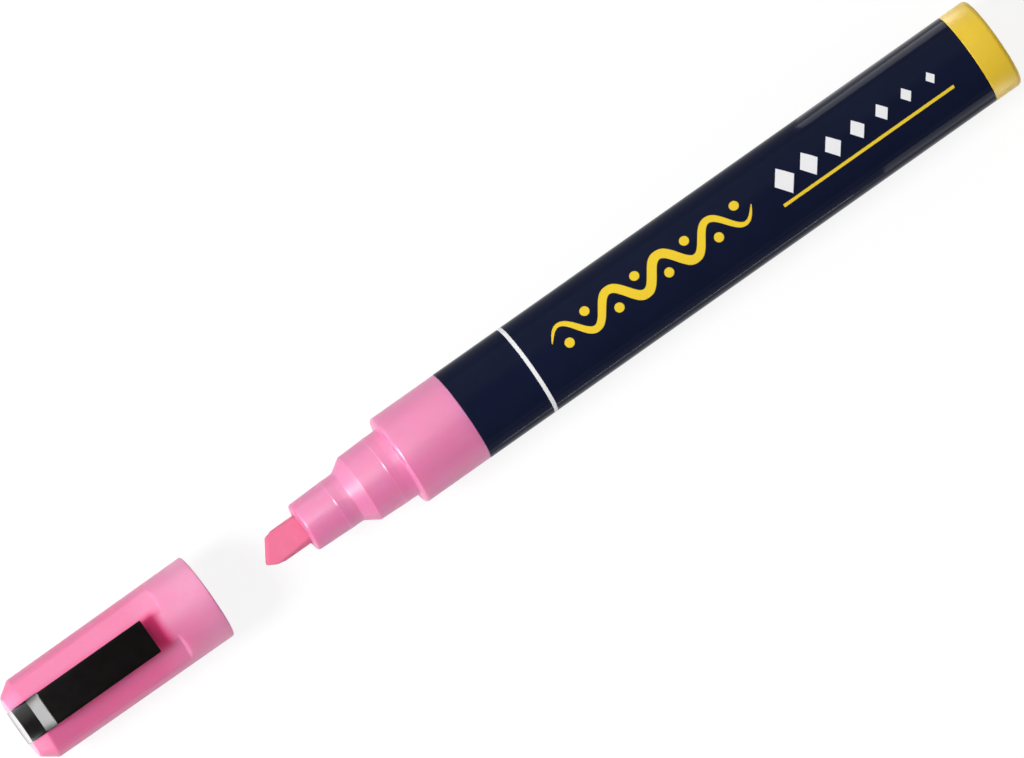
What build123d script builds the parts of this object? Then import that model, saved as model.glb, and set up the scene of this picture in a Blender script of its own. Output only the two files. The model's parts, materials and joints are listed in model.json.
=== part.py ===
# Liquid chalk marker with a pump valve, lying on a surface with its cap pulled off in line with it.
# X runs along the marker, from the cap's closed end to the tail. Z is up, towards the pocket clip.
# The origin is on the surface, below the middle of the whole length. Sizes are in millimetres.
import os
from math import cos, pi, radians, sin, tan

from build123d import *

# Barrel
barrel_length = 91.6
barrel_diameter = 15.0
barrel_wall = 1.2
barrel_rounding = 0.12

# Tail plug
plug_head_length = 4.75
plug_head_inset = 0.05
plug_rounding = 0.8
plug_skirt_length = 8.0
plug_wall = 1.3
plug_end_wall = 1.6

# Front section: collar, seat for the cap, cone and nozzle
collar_length = 11.6
collar_inset = 0.1
collar_rounding = 0.7
seat_length = 6.9
seat_rear_diameter = 11.55
seat_front_diameter = 11.15
cone_length = 2.1
cone_rounding = 0.25
nozzle_length = 8.0
nozzle_rear_diameter = 8.4
nozzle_front_diameter = 8.0
nozzle_root_rounding = 0.8
nozzle_mouth_rounding = 0.35
skirt_wall = 0.9
skirt_margin = 2.0
shoulder_setback = 1.5
shoulder_width = 1.35
chamber_setback = 1.0

# Low beads that the cap clicks and seals on
bead_height = 0.1
bead_width = 0.9
seat_bead_setback = 2.5
nozzle_bead_setback = 5.7

# Snap ridges that hold the front section and the plug in the barrel
snap_height = 0.25
snap_width = 1.2
snap_setback = 5.0
lead_in = 0.4

# Ribs that guide the nib and let air past it
rib_count = 6
rib_width = 0.8
rib_height = 0.45
rib_setback = 1.0

# Nib
nib_diameter = 4.9
nib_reach = 7.65
nib_travel = 2.4
nib_slant = 36.0
nib_edge_thickness = 1.4
nib_wedge_length = 5.0
nib_long_rounding = 1.6
nib_short_rounding = 0.8
nib_rear_chamfer = 0.5

# Valve
plate_thickness = 1.6
lip_height = 0.6
lip_width = 0.6
lip_inset = 0.6
seal_thickness = 0.9
poppet_thickness = 1.2
poppet_room = 0.4
rod_diameter = 2.4
rod_margin = 0.4
rod_tail = 0.6
ink_gap = 0.6
case_wall = 0.7
case_end_wall = 1.6
flow_hole_count = 4
flow_hole_diameter = 1.3

# Valve spring
spring_length = 9.0
spring_wire = 0.5
spring_turns = 6
steps_per_turn = 4
samples_per_turn = 36

# Mixing ball and its place in the ink chamber, measured from the plug's skirt
ball_diameter = 6.0
ball_setback = 22.0

# Cap
cap_length = 33.75
cap_gap = 9.75
cap_wall = 1.075
cap_taper = 0.15
cap_chamfer_length = 2.4
cap_chamfer_inset = 1.7
cap_mouth_rounding = 0.35
cap_bore_margin = 0.6
crown_wall = 5.3

# Flat panels on the cap, two on each side of the clip's line
flat_depth = 0.37
flat_mouth_margin = 6.6
flat_runout = 0.6
flat_angles = (40.0, -40.0, 140.0, -140.0)

# Liner in the cap
liner_wall = 0.95
liner_setback = 2.0
liner_step = 1.0
liner_end_wall = 1.5
liner_nib_room = 0.75

# Pocket clip
clip_width = 5.6
clip_reach = 22.75
clip_thickness = 1.3
clip_rise = 2.5
clip_ramp_length = 1.7
clip_foot_length = 1.55
clip_pocket_depth = 1.9
clip_strap_thickness = 1.2
clip_neck_rounding = 0.5
clip_bump_height = 0.6
clip_bump_length = 1.8
clip_bump_setback = 1.5
clip_edge_rounding = 0.2

# Clearances
fit_clearance = 0.05
running_clearance = 0.08
nib_clearance = 0.06
cap_clearance = 0.15
seal_clearance = 0.1
flex_clearance = 0.25
ball_clearance = 0.15
cut_overrun = 1.0

# Stations along the marker, from the cap's closed end to the tail
total_length = (
    cap_length + cap_gap + nib_reach + nozzle_length + cone_length
    + seat_length + collar_length + barrel_length + plug_head_length
)
cap_end_x = -total_length / 2
cap_mouth_x = cap_end_x + cap_length
nib_tip_x = cap_mouth_x + cap_gap
mouth_x = nib_tip_x + nib_reach
nozzle_rear_x = mouth_x + nozzle_length
cone_rear_x = nozzle_rear_x + cone_length
collar_x = cone_rear_x + seat_length
barrel_x = collar_x + collar_length
plug_x = barrel_x + barrel_length
tail_x = plug_x + plug_head_length

# Stations inside the front section
chamber_x = cone_rear_x + chamber_setback
shoulder_x = collar_x + shoulder_setback
nib_rear_x = shoulder_x - nib_travel - rod_margin
plate_rear_x = shoulder_x + plate_thickness
lip_x = plate_rear_x + lip_height
poppet_x = lip_x + seal_thickness
spring_x = poppet_x + poppet_thickness
case_wall_x = spring_x + spring_length
case_rear_x = case_wall_x + case_end_wall
rod_rear_x = case_rear_x + rod_tail
skirt_rear_x = rod_rear_x + nib_travel + skirt_margin

# Radii of the barrel and what goes into it
barrel_r = barrel_diameter / 2
bore_r = barrel_r - barrel_wall
plug_head_r = barrel_r - plug_head_inset
insert_r = bore_r - fit_clearance
plug_bore_r = insert_r - plug_wall
ball_r = ball_diameter / 2

# Radii of the front section, the nib and the valve
collar_r = barrel_r - collar_inset
seat_rear_r = seat_rear_diameter / 2
seat_front_r = seat_front_diameter / 2
nozzle_rear_r = nozzle_rear_diameter / 2
nozzle_front_r = nozzle_front_diameter / 2
nib_r = nib_diameter / 2
rib_r = nib_r + nib_clearance
guide_r = rib_r + rib_height
valve_bore_r = insert_r - skirt_wall
chamber_r = valve_bore_r - shoulder_width
valve_r = valve_bore_r - fit_clearance
case_bore_r = valve_r - case_wall
poppet_r = case_bore_r - poppet_room
rod_r = rod_diameter / 2
seat_hole_r = rod_r + ink_gap
lip_r = seat_hole_r + lip_width
seal_r = lip_r + lip_inset
spring_r = (rod_r + poppet_r) / 2

# Radii of the cap and its liner
cap_bore_r = max(seat_rear_r, seat_front_r) + cap_clearance
cap_mouth_r = cap_bore_r + cap_wall
cap_top_r = cap_mouth_r - cap_taper
cap_end_r = cap_top_r - cap_chamfer_inset
liner_seal_r = max(nozzle_rear_r, nozzle_front_r) + seal_clearance
liner_r = liner_seal_r + liner_wall
liner_nib_r = nib_r + liner_nib_room
liner_bore_r = liner_r + fit_clearance

# The marker lies on its widest piece
axis_z = max(barrel_r, cap_mouth_r)

# Stations inside the cap: its bore and liner lie as deep from the cap's mouth as the nose parts that they
# take lie from the collar, because the cap's mouth stops on the collar
cap_bore_end_x = cap_mouth_x - seat_length - cap_bore_margin
liner_bore_x = cap_bore_end_x - cone_length
liner_mouth_x = cap_mouth_x - seat_length - cone_length - liner_setback
liner_step_x = cap_mouth_x - (collar_x - mouth_x) - liner_step
crown_x = cap_end_x + crown_wall
liner_floor_x = crown_x + liner_end_wall

# The marker's axis, and the upright plane through it on which outlines are drawn as (x, radius)
marker_axis = Axis((0, 0, axis_z), (1, 0, 0))
profile_plane = Plane((0, 0, axis_z), x_dir=(1, 0, 0), z_dir=(0, -1, 0))


def outline(*corners):
    """Draw a closed outline of (x, height, rounding) corners on the profile plane."""
    with BuildSketch(profile_plane) as drawn:
        with BuildLine():
            FilletPolyline(
                *[(x, height) for x, height, rounding in corners],
                radius=[rounding for x, height, rounding in corners],
                close=True,
            )
        make_face()
    return drawn.sketch


def turn(*corners, mode=Mode.ADD):
    """Turn an outline of (x, radius, rounding) corners round the marker's axis."""
    revolve(outline(*corners), axis=marker_axis, mode=mode)


def cross_plane(x):
    """Give the plane square to the marker's axis at x, facing the tail."""
    return Plane((x, 0, axis_z), x_dir=(0, 1, 0), z_dir=(1, 0, 0))


def taper_r(x, start, end):
    """Give the radius at x on a taper between two (x, radius) points."""
    share = (x - start[0]) / (end[0] - start[0])
    return start[1] + share * (end[1] - start[1])


def ridge(x, radius, height, width):
    """Give the three corners of a low ridge, in order of growing x."""
    return [
        (x - width / 2, radius, 0),
        (x, radius + height, height),
        (x + width / 2, radius, 0),
    ]


def groove(x):
    """Give the four corners of the groove that a snap ridge sits in, in order of growing x."""
    half_width = snap_width / 2 + fit_clearance
    depth_r = bore_r + snap_height + fit_clearance
    return [
        (x - half_width, bore_r, 0),
        (x - half_width, depth_r, 0),
        (x + half_width, depth_r, 0),
        (x + half_width, bore_r, 0),
    ]


os.makedirs("parts", exist_ok=True)

# Snap ridges, measured from the barrel's two ends
front_snap_x = barrel_x + snap_setback
rear_snap_x = plug_x - snap_setback

# Barrel: a plain tube with a groove inside each end
with BuildPart() as barrel:
    turn(
        (barrel_x, bore_r, 0),
        *groove(front_snap_x),
        *groove(rear_snap_x),
        (plug_x, bore_r, 0),
        (plug_x, barrel_r, barrel_rounding),
        (barrel_x, barrel_r, barrel_rounding),
    )
barrel.part.label = "barrel"
export_step(barrel.part, "parts/barrel.step")

# Tail plug: a closed cup, its head flush with the barrel
with BuildPart() as tail_plug:
    plug_front_x = plug_x - plug_skirt_length
    turn(
        (plug_front_x, plug_bore_r, 0),
        (plug_front_x, insert_r - lead_in, 0),
        (plug_front_x + lead_in, insert_r, 0),
        *ridge(rear_snap_x, insert_r, snap_height, snap_width),
        (plug_x, insert_r, 0),
        (plug_x, plug_head_r, barrel_rounding),
        (tail_x, plug_head_r, plug_rounding),
        (tail_x, 0, 0),
        (tail_x - plug_end_wall, 0, 0),
        (tail_x - plug_end_wall, plug_bore_r, plug_rounding),
    )
tail_plug.part.label = "tail_plug"
export_step(tail_plug.part, "parts/tail_plug.step")

# Front section: outside from the nozzle's mouth back to the skirt, inside from the skirt forward
seat_bead_x = collar_x - seat_bead_setback
nozzle_bead_x = mouth_x + nozzle_bead_setback
seat_bead_r = taper_r(seat_bead_x, (cone_rear_x, seat_front_r), (collar_x, seat_rear_r))
nozzle_bead_r = taper_r(nozzle_bead_x, (mouth_x, nozzle_front_r), (nozzle_rear_x, nozzle_rear_r))
mouth_rounding = min(nozzle_mouth_rounding, (nozzle_front_r - guide_r) / 2)
step_rounding = min(collar_rounding, (collar_r - seat_rear_r) / 2)
rib_x = mouth_x + rib_setback
with BuildPart() as front_section:
    turn(
        (mouth_x, guide_r, 0),
        (mouth_x, nozzle_front_r, mouth_rounding),
        *ridge(nozzle_bead_x, nozzle_bead_r, bead_height, bead_width),
        (nozzle_rear_x, nozzle_rear_r, nozzle_root_rounding),
        (cone_rear_x, seat_front_r, cone_rounding),
        *ridge(seat_bead_x, seat_bead_r, bead_height, bead_width),
        (collar_x, seat_rear_r, 0),
        (collar_x, collar_r, step_rounding),
        (barrel_x, collar_r, barrel_rounding),
        (barrel_x, insert_r, 0),
        *ridge(front_snap_x, insert_r, snap_height, snap_width),
        (skirt_rear_x - lead_in, insert_r, 0),
        (skirt_rear_x, insert_r - lead_in, 0),
        (skirt_rear_x, valve_bore_r, 0),
        (shoulder_x, valve_bore_r, 0),
        (shoulder_x, chamber_r, 0),
        (chamber_x, chamber_r, 0),
        (chamber_x, rib_r, 0),
        (rib_x, rib_r, 0),
        (rib_x, guide_r, 0),
    )
    with BuildSketch(cross_plane(rib_x)):
        Circle(guide_r)
        with PolarLocations(guide_r, rib_count):
            Rectangle(rib_height * 2, rib_width, mode=Mode.SUBTRACT)
    extrude(amount=chamber_x - rib_x, mode=Mode.SUBTRACT)
front_section.part.label = "front_section"
export_step(front_section.part, "parts/front_section.step")

# Nib: a round fibre rod with a slanted chisel end, its long corner on the -Y side
slant = radians(nib_slant)
long_corner_x = nib_tip_x - nib_long_rounding * (1 / tan((pi / 2 - slant) / 2) - 1)
short_corner_x = long_corner_x + nib_diameter * tan(slant)
edge_direction = (sin(slant), cos(slant), 0)
wedge_direction = (cos(slant), -sin(slant), 0)
with BuildPart() as nib:
    turn(
        (nib_tip_x, 0, 0),
        (nib_tip_x, nib_r, 0),
        (nib_rear_x - nib_rear_chamfer, nib_r, 0),
        (nib_rear_x, nib_r - nib_rear_chamfer, 0),
        (nib_rear_x, 0, 0),
    )
    with BuildSketch(Plane((0, 0, axis_z))):
        with BuildLine():
            FilletPolyline(
                (nib_rear_x, nib_r),
                (short_corner_x, nib_r),
                (long_corner_x, -nib_r),
                (nib_rear_x, -nib_r),
                radius=[0, nib_short_rounding, nib_long_rounding, 0],
                close=True,
            )
        make_face()
    extrude(amount=nib_r, both=True, mode=Mode.INTERSECT)
    with BuildSketch(Plane((short_corner_x, nib_r, axis_z), x_dir=wedge_direction, z_dir=edge_direction)):
        with BuildLine():
            Polyline(
                (0, nib_edge_thickness / 2),
                (nib_wedge_length, nib_r),
                (nib_rear_x - nib_tip_x, nib_r),
                (nib_rear_x - nib_tip_x, -nib_r),
                (nib_wedge_length, -nib_r),
                (0, -nib_edge_thickness / 2),
                close=True,
            )
        make_face()
    extrude(amount=nib_rear_x - nib_tip_x, both=True, mode=Mode.INTERSECT)
nib.part.label = "nib"
export_step(nib.part, "parts/nib.step")

# Valve seat: a plate on the front section's shoulder, with a sealing lip round its hole
with BuildPart() as valve_seat:
    turn(
        (shoulder_x, seat_hole_r, 0),
        (shoulder_x, valve_r, 0),
        (plate_rear_x, valve_r, 0),
        (plate_rear_x, lip_r, 0),
        (lip_x, lip_r, 0),
        (lip_x, seat_hole_r, 0),
    )
valve_seat.part.label = "valve_seat"
export_step(valve_seat.part, "parts/valve_seat.step")

# Valve seal: a soft ring in front of the poppet, closed on the lip
with BuildPart() as valve_seal:
    turn(
        (lip_x, rod_r + fit_clearance, 0),
        (lip_x, seal_r, 0),
        (poppet_x, seal_r, 0),
        (poppet_x, rod_r + fit_clearance, 0),
    )
valve_seal.part.label = "valve_seal"
export_step(valve_seal.part, "parts/valve_seal.step")

# Valve rod: the pin that the nib pushes, the poppet and the stem in the case's guide
with BuildPart() as valve_rod:
    turn(
        (nib_rear_x, 0, 0),
        (nib_rear_x, rod_r, 0),
        (poppet_x, rod_r, 0),
        (poppet_x, poppet_r, 0),
        (spring_x, poppet_r, 0),
        (spring_x, rod_r, 0),
        (rod_rear_x, rod_r, 0),
        (rod_rear_x, 0, 0),
    )
valve_rod.part.label = "valve_rod"
export_step(valve_rod.part, "parts/valve_rod.step")

# Valve case: a cup round the spring, with a guide for the rod and holes that let the ink in
flow_circle_r = (rod_r + running_clearance + case_bore_r) / 2
with BuildPart() as valve_case:
    turn(
        (plate_rear_x, case_bore_r, 0),
        (plate_rear_x, valve_r, 0),
        (case_rear_x, valve_r, 0),
        (case_rear_x, rod_r + running_clearance, 0),
        (case_wall_x, rod_r + running_clearance, 0),
        (case_wall_x, case_bore_r, 0),
    )
    with BuildSketch(cross_plane(case_rear_x)):
        with PolarLocations(flow_circle_r, flow_hole_count):
            Circle(flow_hole_diameter / 2)
    extrude(amount=-case_end_wall, mode=Mode.SUBTRACT)
valve_case.part.label = "valve_case"
export_step(valve_case.part, "parts/valve_case.step")

# Valve spring: one round wire on a helix of arcs, between the poppet and the case's end wall
wire_r = spring_wire / 2
coil_start_x = spring_x + wire_r + fit_clearance
coil_length = spring_length - spring_wire - fit_clearance * 2


def coil_point(turn_number):
    """Give the helix's point after a number of turns."""
    angle = 2 * pi * turn_number
    x = coil_start_x + coil_length * turn_number / spring_turns
    return Vector(x, spring_r * sin(angle), axis_z + spring_r * cos(angle))


def coil_tangent(turn_number):
    """Give the helix's direction after a number of turns."""
    angle = 2 * pi * turn_number
    advance = coil_length / spring_turns / (2 * pi)
    return Vector(advance, spring_r * cos(angle), -spring_r * sin(angle)).normalized()


def biarc(start_turn, end_turn):
    """Draw two arcs that leave and meet the helix along its own direction."""
    start, end = coil_point(start_turn), coil_point(end_turn)
    leave, meet = coil_tangent(start_turn), coil_tangent(end_turn)
    chord = end - start
    reach = chord.dot(leave + meet)
    turning = 2 * (1 - leave.dot(meet))
    arm = ((reach**2 + turning * chord.dot(chord)) ** 0.5 - reach) / turning
    first_corner = start + leave * arm
    second_corner = end - meet * arm
    middle = (first_corner + second_corner) / 2
    TangentArc(start, middle, tangent=leave)
    TangentArc(middle, end, tangent=second_corner - first_corner)


with BuildPart() as valve_spring:
    with BuildLine() as coil:
        for step in range(spring_turns * steps_per_turn):
            biarc(step / steps_per_turn, (step + 1) / steps_per_turn)
    with BuildSketch(Plane(coil_point(0), z_dir=coil_tangent(0))):
        Circle(wire_r)
    sweep(path=coil.line)
valve_spring.part.label = "valve_spring"
export_step(valve_spring.part, "parts/valve_spring.step")

# The coil's least gap to itself: the nearest points that are over half a turn apart
coil_points = [coil_point(step / samples_per_turn) for step in range(samples_per_turn * spring_turns + 1)]
least_gap = min(
    (coil_points[first] - coil_points[second]).length - spring_wire
    for first in range(len(coil_points))
    for second in range(first + samples_per_turn // 2, len(coil_points))
)
print(f"valve_spring least gap to itself: {least_gap:.3f} mm")

# Mixing ball: loose in the ink chamber, lying on the barrel's bore
with BuildPart() as mixing_ball:
    with Locations((plug_x - plug_skirt_length - ball_setback, 0, axis_z - bore_r + ball_r + ball_clearance)):
        Sphere(ball_r)
mixing_ball.part.label = "mixing_ball"
export_step(mixing_ball.part, "parts/mixing_ball.step")

# Cap shell: round and closed at one end, with flat panels that run out over the end's chamfer
cap_chamfer_x = cap_end_x + cap_chamfer_length
flat_r = cap_top_r - flat_depth
flat_end_x = cap_mouth_x - flat_mouth_margin
clear_r = cap_mouth_r + cut_overrun
clip_root_x = cap_chamfer_x
clip_foot_x = clip_root_x + clip_foot_length
clip_floor_r = cap_top_r - clip_pocket_depth
pocket_width = clip_width + fit_clearance * 2
with BuildPart() as cap_shell:
    turn(
        (cap_mouth_x, cap_bore_r, 0),
        (cap_mouth_x, cap_mouth_r, cap_mouth_rounding),
        (cap_chamfer_x, cap_top_r, 0),
        (cap_end_x, cap_end_r, 0),
        (cap_end_x, 0, 0),
        (crown_x, 0, 0),
        (crown_x, liner_bore_r, 0),
        (liner_bore_x, liner_bore_r, 0),
        (cap_bore_end_x, cap_bore_r, 0),
    )
    for flat_angle in flat_angles:
        with BuildSketch(profile_plane.rotated((flat_angle, 0, 0))):
            with BuildLine():
                Polyline(
                    (cap_end_x, flat_r - cap_chamfer_inset),
                    (cap_chamfer_x, flat_r),
                    (flat_end_x - flat_runout, flat_r),
                    (flat_end_x, clear_r),
                    (cap_end_x, clear_r),
                    close=True,
                )
            make_face()
        extrude(amount=cap_top_r, both=True, mode=Mode.SUBTRACT)
    with BuildSketch(cross_plane(cap_end_x)):
        Rectangle(pocket_width, clear_r * 2)
    extrude(amount=clip_strap_thickness + fit_clearance, mode=Mode.SUBTRACT)
    with BuildSketch(cross_plane(cap_end_x)):
        with Locations((0, (clip_floor_r + clear_r) / 2)):
            Rectangle(pocket_width, clear_r - clip_floor_r)
    extrude(amount=clip_foot_x + flex_clearance - cap_end_x, mode=Mode.SUBTRACT)
cap_shell.part.label = "cap_shell"
export_step(cap_shell.part, "parts/cap_shell.step")

# Inner cap: a liner pressed into the shell, which seals round the nozzle and leaves room for the nib
with BuildPart() as inner_cap:
    turn(
        (liner_mouth_x, liner_seal_r, 0),
        (liner_mouth_x, liner_r, 0),
        (crown_x, liner_r, 0),
        (crown_x, 0, 0),
        (liner_floor_x, 0, 0),
        (liner_floor_x, liner_nib_r, 0),
        (liner_step_x, liner_nib_r, 0),
        (liner_step_x, liner_seal_r, 0),
    )
inner_cap.part.label = "inner_cap"
export_step(inner_cap.part, "parts/inner_cap.step")

# Clip root: a strap over the cap's closed end and a foot in the pocket, flush with the cap's chamfer
with BuildPart() as clip_root:
    with BuildSketch(cross_plane(cap_end_x)):
        Rectangle(clip_width, clear_r * 2)
    extrude(amount=clip_strap_thickness)
    with BuildSketch(cross_plane(cap_end_x)):
        with Locations((0, (clip_floor_r + clear_r) / 2)):
            Rectangle(clip_width, clear_r - clip_floor_r)
    extrude(amount=clip_root_x - cap_end_x)
    turn(
        (cap_end_x, 0, 0),
        (cap_end_x, cap_end_r, 0),
        (cap_chamfer_x, cap_top_r, 0),
        (cap_chamfer_x, 0, 0),
        mode=Mode.INTERSECT,
    )
clip_root.part.label = "clip_root"
export_step(clip_root.part, "parts/clip_root.step")

# Clip arm: a foot in the pocket, a ramp and a flat blade with a grip bump under its free end
clip_end_x = cap_end_x + clip_reach
clip_top_r = cap_top_r + clip_rise
clip_under_r = clip_top_r - clip_thickness
bump_rear_x = clip_end_x - clip_bump_setback
bump_front_x = bump_rear_x - clip_bump_length
with BuildPart() as clip_arm:
    extrude(
        outline(
            (clip_root_x, clip_floor_r, 0),
            (clip_root_x, cap_top_r, 0),
            (clip_root_x + clip_ramp_length, clip_top_r, clip_edge_rounding),
            (clip_end_x, clip_top_r, clip_edge_rounding),
            (clip_end_x, clip_under_r, clip_edge_rounding),
            (bump_rear_x, clip_under_r, 0),
            ((bump_rear_x + bump_front_x) / 2, clip_under_r - clip_bump_height, clip_bump_height),
            (bump_front_x, clip_under_r, 0),
            (clip_foot_x, clip_under_r, clip_neck_rounding),
            (clip_foot_x, clip_floor_r, 0),
        ),
        amount=clip_width / 2,
        both=True,
    )
clip_arm.part.label = "clip_arm"
export_step(clip_arm.part, "parts/clip_arm.step")
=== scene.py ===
# Looks of the liquid chalk marker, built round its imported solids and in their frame.
# Sizes are in millimetres, as in the solids' own source, and become metres where a mesh is made.
import json
import math

import bmesh
import bpy
from mathutils import Matrix, Quaternion, Vector, noise
from mathutils.geometry import tessellate_polygon


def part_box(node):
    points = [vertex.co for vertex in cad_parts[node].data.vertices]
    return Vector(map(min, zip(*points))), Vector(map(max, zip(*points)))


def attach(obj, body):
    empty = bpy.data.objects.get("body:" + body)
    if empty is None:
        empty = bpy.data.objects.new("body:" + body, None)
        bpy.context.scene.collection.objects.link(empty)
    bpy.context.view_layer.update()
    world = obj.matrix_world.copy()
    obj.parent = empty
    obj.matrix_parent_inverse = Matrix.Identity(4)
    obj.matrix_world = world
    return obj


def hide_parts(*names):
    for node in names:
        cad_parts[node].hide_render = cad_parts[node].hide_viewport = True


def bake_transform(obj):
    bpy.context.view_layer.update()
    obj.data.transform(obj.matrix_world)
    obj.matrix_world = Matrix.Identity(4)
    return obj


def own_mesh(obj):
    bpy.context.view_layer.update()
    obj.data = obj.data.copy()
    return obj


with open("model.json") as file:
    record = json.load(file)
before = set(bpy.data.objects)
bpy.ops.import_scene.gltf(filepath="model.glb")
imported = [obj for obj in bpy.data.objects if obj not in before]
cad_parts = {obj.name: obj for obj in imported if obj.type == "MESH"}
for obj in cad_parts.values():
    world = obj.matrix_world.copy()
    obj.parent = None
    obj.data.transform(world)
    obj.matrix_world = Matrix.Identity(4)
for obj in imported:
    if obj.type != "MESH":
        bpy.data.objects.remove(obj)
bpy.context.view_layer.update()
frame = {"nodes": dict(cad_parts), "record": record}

MM = 0.001
X, Y, Z = 0, 1, 2
LOW, HIGH = 0, 1


def reach(node, side, axis):
    """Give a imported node's lowest or highest place along an axis, in millimetres."""
    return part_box(node)[side][axis] / MM


# The marker's axis and barrel, from the record
grip = next(mount for mount in frame["record"]["mounts"] if mount["name"] == "barrel_grip")
axis_z = grip["pos_m"][Z] / MM
barrel_r = grip["dims"]["r_mm"]

# Stations along the marker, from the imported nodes
cap_end_x = reach("cap_shell", LOW, X)
cap_mouth_x = reach("cap_shell", HIGH, X)
crown_x = reach("inner_cap", LOW, X)
liner_mouth_x = reach("inner_cap", HIGH, X)
clip_root_x = reach("clip_arm", LOW, X)
clip_end_x = reach("clip_arm", HIGH, X)
mouth_x = reach("front_section", LOW, X)
skirt_rear_x = reach("front_section", HIGH, X)
barrel_x = reach("barrel", LOW, X)
plug_x = reach("barrel", HIGH, X)
plug_front_x = reach("tail_plug", LOW, X)
tail_x = reach("tail_plug", HIGH, X)
spring_front_x = reach("valve_spring", LOW, X)
spring_rear_x = reach("valve_spring", HIGH, X)

# Barrel and tail plug
bore_r = 6.3
insert_r = 6.25
seam_rounding = 0.12
plug_head_r = 7.45
plug_bore_r = 4.95
plug_rounding = 0.8
plug_end_wall = 1.6
lead_in = 0.4
film_height = 0.05
film_edge_angles = (-49.0, -63.0)
film_edge_width = 0.8

# Front section
collar_x = barrel_x - 11.6
cone_rear_x = collar_x - 6.9
nozzle_rear_x = cone_rear_x - 2.1
collar_r = 7.4
collar_rounding = 0.55
seat_rear_r = 5.775
seat_front_r = 5.575
cone_rounding = 0.25
nozzle_rear_r = 4.2
nozzle_front_r = 4.0
nozzle_root_rounding = 0.8
mouth_rounding = 0.45
mouth_dome = 0.3
lip_r = 2.62
lip_length = 0.5
lip_rounding = 0.12
seat_foot_rounding = 0.15
bead_height = 0.045
bead_front = 0.2
bead_back = 1.2
bead_rounding = 0.2
seat_bead_x = collar_x - 2.5
nozzle_bead_x = mouth_x + 5.7
guide_r = 2.96
rib_r = 2.51
rib_count = 6
rib_width = 0.8
rib_flare = 1.15
rib_x = mouth_x + 1.0
rib_lead = 0.3
chamber_x = cone_rear_x + 1.0
chamber_r = 4.0
shoulder_x = collar_x + 1.5
valve_bore_r = 5.35

# Nib: its outline from above, out from the tip and across, and its chisel edge
nib_tip_x = reach("nib", LOW, X)
nib_rear_x = reach("nib", HIGH, X)
nib_r = reach("nib", HIGH, Y)
nib_rear_chamfer = 0.5
nib_short_corner = (2.1, 2.1, 0.35)
nib_long_corner = (-0.1, -1.3, 0.35)
nib_short_taper = 3.8
nib_long_bend = (1.5, -2.2)
nib_long_taper = 3.2
nib_taper_rounding = 1.2
nib_edge_thickness = 1.4
nib_edge_rounding = 0.6
nib_wedge_length = 9.0
nib_spare = 1.0
nib_voxel = 0.1
nib_smoothings = 28
fibre_height = 0.02
fibre_scale = 6.0
fibre_stretch = 0.6

# Cap and its liner
cap_mouth_r = 7.0
cap_top_r = 6.85
cap_end_r = 5.15
cap_bore_r = 5.925
cap_chamfer_x = clip_root_x
cap_bore_end_x = cap_mouth_x - 7.5
cap_end_rounding = 0.5
cap_chamfer_rounding = 1.0
cap_mouth_rounding = 0.35
cap_lip_rounding = 0.15
flat_depth = 0.37
flat_depth_limit = 0.25
flat_r = cap_top_r - flat_depth
flat_angles = (40.0, 140.0, 220.0, 320.0)
flat_end_x = cap_mouth_x - 7.2
flat_runout = 0.35
flat_bulge = 0.4
flat_edge = 0.16
flat_groove = 0.06
flat_clearance = 0.5
liner_bore_r = 5.3
liner_bore_x = cap_bore_end_x - 2.1
liner_r = 5.25
liner_seal_r = 4.3
liner_nib_r = 3.2
liner_step_x = liner_mouth_x - 7.0
liner_floor_x = crown_x + 1.5
liner_lip_rounding = 0.1
liner_rim_rounding = 0.2
liner_floor_rounding = 0.4
liner_step_rounding = 0.1
liner_seal_rounding = 0.2

# Pocket clip
clip_half_width = reach("clip_arm", HIGH, Y)
clip_top_r = reach("clip_arm", HIGH, Z) - axis_z
clip_floor_r = reach("clip_arm", LOW, Z) - axis_z
clip_thickness = 1.3
clip_ramp = 1.7
clip_foot_x = clip_root_x + 1.55
clip_strap = 1.2
clip_strap_rounding = 0.14
clip_edge = 0.1
clip_root_rounding = 0.1
clip_bend_rounding = 0.2
clip_tip_rounding = 0.15
clip_foot_rounding = 0.5
clip_floor_rounding = 0.15
clip_bump_height = 0.6
clip_bump_length = 1.8
clip_bump_setback = 1.5
clip_bump_rounding = 0.5
clip_bump_foot_rounding = 0.2
pocket_gap = 0.05
pocket_end_gap = 0.25

# Valve spring
wire_r = 0.25
coil_r = reach("valve_spring", HIGH, Y) - wire_r
coil_turns = 6

# Fineness of the meshes
ring_steps = 180
arc_step = math.radians(10)
smooth_angle = math.radians(32)
flat_steps = 8
round_steps = (30, 16, 30, 16)
runout_steps = 6
clip_edge_steps = 4
clip_width_steps = 12
coil_turn_steps = 36
wire_sides = 12


def place(x, angle, r):
    """Give the point at an angle from the top line and a radius from the axis, in metres."""
    return Vector((x, r * math.sin(angle), axis_z + r * math.cos(angle))) * MM


def rounded(corners):
    """Turn closed (x, height, rounding) corners into outline points, with an arc at each rounded corner."""
    points = []
    for index, (x, height, rounding) in enumerate(corners):
        here = Vector((x, height))
        if not rounding:
            points.append(here)
            continue
        into = (here - Vector(corners[index - 1][:2])).normalized()
        out = (Vector(corners[(index + 1) % len(corners)][:2]) - here).normalized()
        turn = math.acos(max(-1.0, min(1.0, into.dot(out))))
        centre = here + (out - into).normalized() * rounding / math.cos(turn / 2)
        start = here - into * rounding * math.tan(turn / 2) - centre
        side = 1 if into.x * out.y - into.y * out.x > 0 else -1
        steps = max(2, math.ceil(turn / arc_step))
        for step in range(steps + 1):
            points.append(centre + Matrix.Rotation(side * turn * step / steps, 2) @ start)
    return points


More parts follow.
